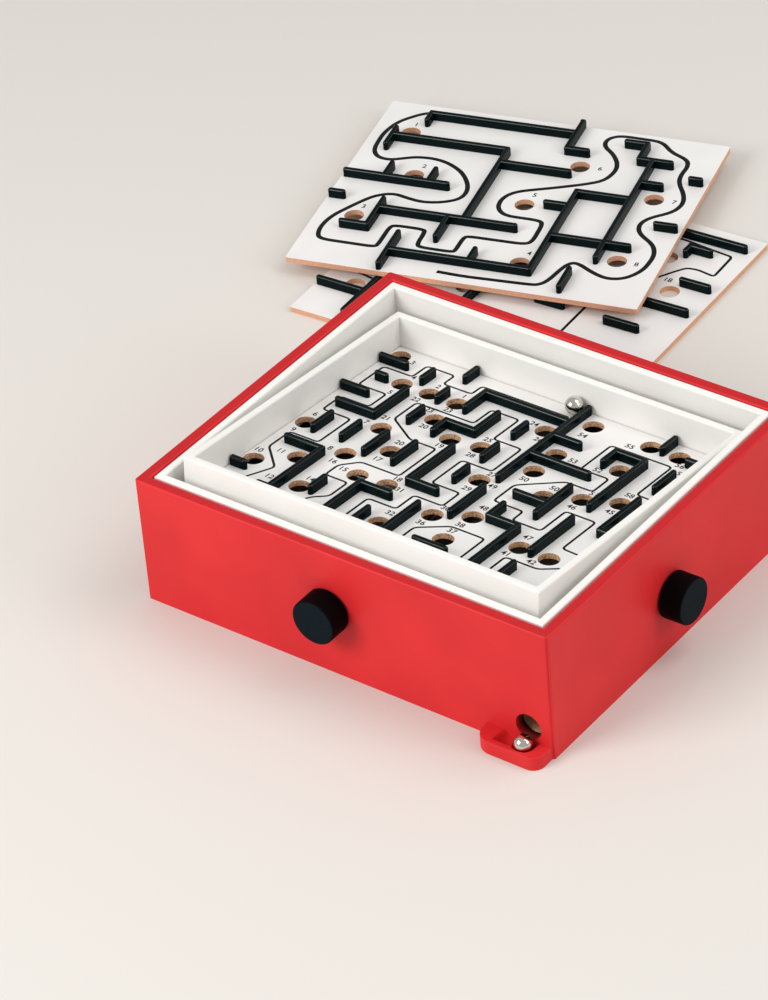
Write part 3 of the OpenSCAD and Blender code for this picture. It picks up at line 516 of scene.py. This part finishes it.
printed_track("lower_spare_track", [
    (50, 84), (62, 85), (74, 88.5), (84, 87.5), (103, 85), (117.5, 83.5), (118, 56), (103.5, 58.5),
    (95.5, 57), (90.5, 50), (82.5, 37), (76, 26), (70, 14), (66, 0), (56, -14), (56, -54), (90, -54),
    (116, -58), (116, -90), (20, -90), (20, -76), (-44, -76), (-52, -96), (-76, -96), (-76, -58),
    (-116, -50), (-116, 8), (-90, 8), (-88, 50)],
    LOWER_TOP, "lower_spare", 2.2 * MM, SHARP_TURN)
printed_figures("lower_spare_figures", [
    (18, 91, 38), (17, 74.5, 47.5), (16, -86, 31)],
    LOWER_TOP, "lower_spare")

# Knobs: turned wood, sprayed matt black and pushed on the shaft ends. The flat end face is drawn a cool
# dark grey, lighter than the sides.
SIDE_BLACK = "020304"
END_BLACK = "0B171E"
END_FACING = 0.75
for knob, along, outward in (("front_knob", "Y", -1.0), ("side_knob", "X", 1.0)):
    knob_black, tree, shader, place = start_material("matt_black_" + knob)
    grain = add(tree, "ShaderNodeTexNoise", {"Vector": place["Object"], "Scale": per_mm(1.5), "Detail": 3.0})
    dull = add(tree, "ShaderNodeMapRange", {"Value": grain.outputs["Fac"], "To Min": 0.5, "To Max": 0.65})
    fleck = add(tree, "ShaderNodeBump", {"Height": grain.outputs["Fac"], "Strength": 0.08,
                                         "Distance": 0.2 * MM})
    facing = add(tree, "ShaderNodeSeparateXYZ", {"Vector": place["Normal"]})
    on_end = add(tree, "ShaderNodeMapRange", {"Value": facing.outputs[along],
                                              "From Min": outward * END_FACING, "From Max": outward})
    sprayed = add(tree, "ShaderNodeMix", {"Factor": on_end.outputs["Result"], "A": linear(SIDE_BLACK),
                                          "B": linear(END_BLACK)}, data_type="RGBA")
    join(tree, shader, {"Base Color": sprayed.outputs["Result"], "Roughness": dull.outputs["Result"],
                        "Normal": fleck.outputs["Normal"], "Specular IOR Level": 0.05})
    finish_node(knob, knob_black)

# Cords and springs: twisted black thread, tied to a brass eye, led under the shaft and wound round it, and
# kept tight by a small steel spring at its far eye. The winding turns with the shaft, and the spring moves
# with the frame; the straight runs stay where they are drawn.
CORD_THICK = 1.2 * MM
LAP_RADIUS = 3.4
LAPS = 3
LAP_PITCH = 1.8
LAP_STEPS = 32
RUN_STEPS = 24
SPRING_WIRE = 0.8 * MM
SPRING_RADIUS = 2.1
SPRING_CURLS = 10
SPRING_LONG = 22
SPRING_END = 2
CURL_STEPS = 16
THREAD_LAY = ((0.4, "141312"), (0.6, "3A3734"))
thread, tree, shader, place = start_material("twisted_black_thread")
twist = add(tree, "ShaderNodeTexNoise", {"Vector": place["Object"], "Scale": per_mm(0.5), "Detail": 1.0})
lay = add(tree, "ShaderNodeValToRGB", {"Fac": twist.outputs["Fac"]}, stops=THREAD_LAY)
join(tree, shader, {"Base Color": lay.outputs["Color"], "Roughness": 0.85})


def round_piece(name, points, thick, material, node):
    """A smooth round tube along points in mm, which stands for a CAD node."""
    mesh = tube(name, points, thick, fineness=3)
    mesh.shade_smooth()
    piece = add_piece(name, mesh, material)
    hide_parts(node)
    return piece


def straight(start, end):
    """Points along a straight run, in even steps."""
    return [Vector(start).lerp(Vector(end), i / RUN_STEPS) for i in range(RUN_STEPS + 1)]


def coiled(start, end):
    """Points along a coil spring from end to end, its curls drawn in at both ends."""
    along = (end - start).normalized()
    across = along.cross(Vector((0, 0, 1))).normalized()
    upright = along.cross(across)
    steps = SPRING_CURLS * CURL_STEPS
    curls = [start]
    for i in range(steps + 1):
        angle = math.tau * i / CURL_STEPS
        widen = min(1, 2 * i / CURL_STEPS, 2 * (steps - i) / CURL_STEPS)
        middle_line = start + along * (SPRING_END + (SPRING_LONG - 2 * SPRING_END) * i / steps)
        outward = math.cos(angle) * across + math.sin(angle) * upright
        curls.append(middle_line + SPRING_RADIUS * widen * outward)
    return curls + [end]


def strung_cord(name, near, far, shaft, middle, turn_to_room, shaft_body, moving):
    """A cord from the near eye under and round a shaft to a spring at the far eye. The points near, far
    and shaft lie in the plane across the shaft, and turn_to_room makes them points of the room."""
    near, far, shaft = Vector(near), Vector(far), Vector(shaft)
    pull = (shaft + Vector((0, -LAP_RADIUS)) - far).normalized()
    spring_at = far + pull * SPRING_LONG
    ends = []
    for eye, side in ((near, 1), (spring_at, -1)):
        reach = eye - shaft
        ends.append(math.atan2(reach.x, -reach.y) + side * math.acos(LAP_RADIUS / reach.length))
    steps = LAP_STEPS * LAPS
    turn = math.tau * LAPS + ends[1] - ends[0]
    wide = LAP_PITCH * LAPS
    winding = []
    for i in range(steps + 1):
        angle = ends[0] + turn * i / steps
        winding.append(turn_to_room(shaft.x + LAP_RADIUS * math.sin(angle),
                                    shaft.y - LAP_RADIUS * math.cos(angle),
                                    middle - wide / 2 + wide * i / steps))
    lap = round_piece(name + "_winding", winding, CORD_THICK, thread, name)
    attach(lap, shaft_body)
    near_eye = turn_to_room(near.x, near.y, middle - wide / 2)
    far_end = turn_to_room(spring_at.x, spring_at.y, middle + wide / 2)
    for part, start, end in (("_near_run", winding[0], near_eye), ("_far_run", winding[-1], far_end)):
        run = round_piece(name + part, straight(start, end), CORD_THICK, thread, name)
        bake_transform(run)
    far_eye = turn_to_room(far.x, far.y, middle + wide / 2)
    spring = round_piece(name + "_coil", coiled(Vector(far_end), Vector(far_eye)), SPRING_WIRE, bright_steel,
                         name + "_spring")
    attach(spring, moving)


strung_cord("outer_cord", (-146.95, 57.0), (146.95, 57.0), (-8, 51), 14,
            lambda across, height, along: (across, along, height), "front_control", "outer_frame")
strung_cord("inner_cord", (-113.66, 71.86), (110.2, 50.3), (-6, 42), 4,
            lambda across, height, along: (along, across, height), "side_control",
            "inner_frame")

# Steel balls: ground and polished ball-bearing steel, loose on the board and in the tray. They mirror
# what is around them, with a slight haze from handling.
BALL_RADIUS = 12.7 / 2 * MM
polished_steel, tree, shader, place = start_material("polished_ball_steel")
haze = add(tree, "ShaderNodeTexNoise", {"Vector": place["Object"], "Scale": per_mm(3), "Detail": 2.0})
gloss = add(tree, "ShaderNodeMapRange", {"Value": haze.outputs["Fac"], "To Min": 0.04, "To Max": 0.09})
join(tree, shader, {"Base Color": linear("D6D2CA"), "Metallic": 1.0, "Roughness": gloss.outputs["Result"]})
for node, body in (("board_ball", "ball_in_play"), ("tray_ball", "ball_returned")):
    low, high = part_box(node)
    shape = bmesh.new()
    bmesh.ops.create_icosphere(shape, subdivisions=5, radius=BALL_RADIUS,
                               matrix=Matrix.Translation((low + high) / 2))
    mesh = bpy.data.meshes.new(node + "_polished")
    shape.to_mesh(mesh)
    shape.free()
    mesh.shade_smooth()
    ball = add_piece(node + "_polished", mesh, polished_steel)
    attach(ball, body)
    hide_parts(node)

# Floor, light and camera of the picture, which aren't part of the object: a plain pale floor, a large soft
# light at the front left, two smaller ones, and the camera at the photograph's viewing angle.
FLOOR_HALF = 6.0
shape = bmesh.new()
bmesh.ops.create_grid(shape, x_segments=1, y_segments=1, size=FLOOR_HALF)
mesh = bpy.data.meshes.new("floor")
shape.to_mesh(mesh)
shape.free()
pale, tree, shader, place = start_material("pale_floor")
join(tree, shader, {"Base Color": linear("DEDAD4"), "Roughness": 0.8})
floor = add_piece("floor", mesh, pale)

world = bpy.data.worlds.new("soft_studio")
bpy.context.scene.world = world
world.use_nodes = True
tree = world.node_tree
path = tree.nodes.new("ShaderNodeLightPath")
strength = add(tree, "ShaderNodeMapRange", {"Value": path.outputs["Is Glossy Ray"], "To Min": 0.66,
                                            "To Max": 0.6})
join(tree, tree.nodes["Background"], {"Color": linear("F4F3F1"), "Strength": strength.outputs["Result"]})


def soft_box(name, at, toward, size, power):
    """A square studio light at a place, turned towards a point."""
    light = bpy.data.lights.new(name, "AREA")
    light.shape = "SQUARE"
    light.size = size
    light.energy = power
    lamp = bpy.data.objects.new(name, light)
    bpy.context.collection.objects.link(lamp)
    aim = (Vector(toward) - Vector(at)).to_track_quat("-Z", "Y")
    lamp.matrix_world = Matrix.Translation(at) @ aim.to_matrix().to_4x4()


soft_box("key", at=(-0.91, -1.95, 1.46), toward=(0, 0, 0.05), size=1.3, power=39)
soft_box("fill", at=(2.2, 0.4, 1.3), toward=(0, 0, 0.05), size=1.0, power=11)
soft_box("top", at=(0.9, 0.6, 1.9), toward=(0, 0.1, 0.05), size=1.2, power=10)

EYE = Vector((1449.5, -1868.1, 1778.9)) * MM
AZIMUTH = math.radians(39.11)
ELEVATION = math.radians(36.08)
ROLL = math.radians(-5.0)
FOCAL_PX = 4542.0
IMAGE_LONG_PX = 1000.0
back = Vector((math.sin(AZIMUTH) * math.cos(ELEVATION), -math.cos(AZIMUTH) * math.cos(ELEVATION),
               math.sin(ELEVATION)))
level = Vector((math.cos(AZIMUTH), math.sin(AZIMUTH), 0))
right = level * math.cos(ROLL) + back.cross(level) * math.sin(ROLL)
up = back.cross(right)
camera_data = bpy.data.cameras.new("camera")
camera_data.sensor_width = 36.0
camera_data.lens = FOCAL_PX / IMAGE_LONG_PX * camera_data.sensor_width
camera_data.clip_end = 20.0
camera = bpy.data.objects.new("camera", camera_data)
bpy.context.collection.objects.link(camera)
camera.matrix_world = Matrix.Translation(EYE) @ Matrix((right, up, back)).transposed().to_4x4()
bpy.context.scene.camera = camera
bpy.context.scene.view_settings.view_transform = "Standard"
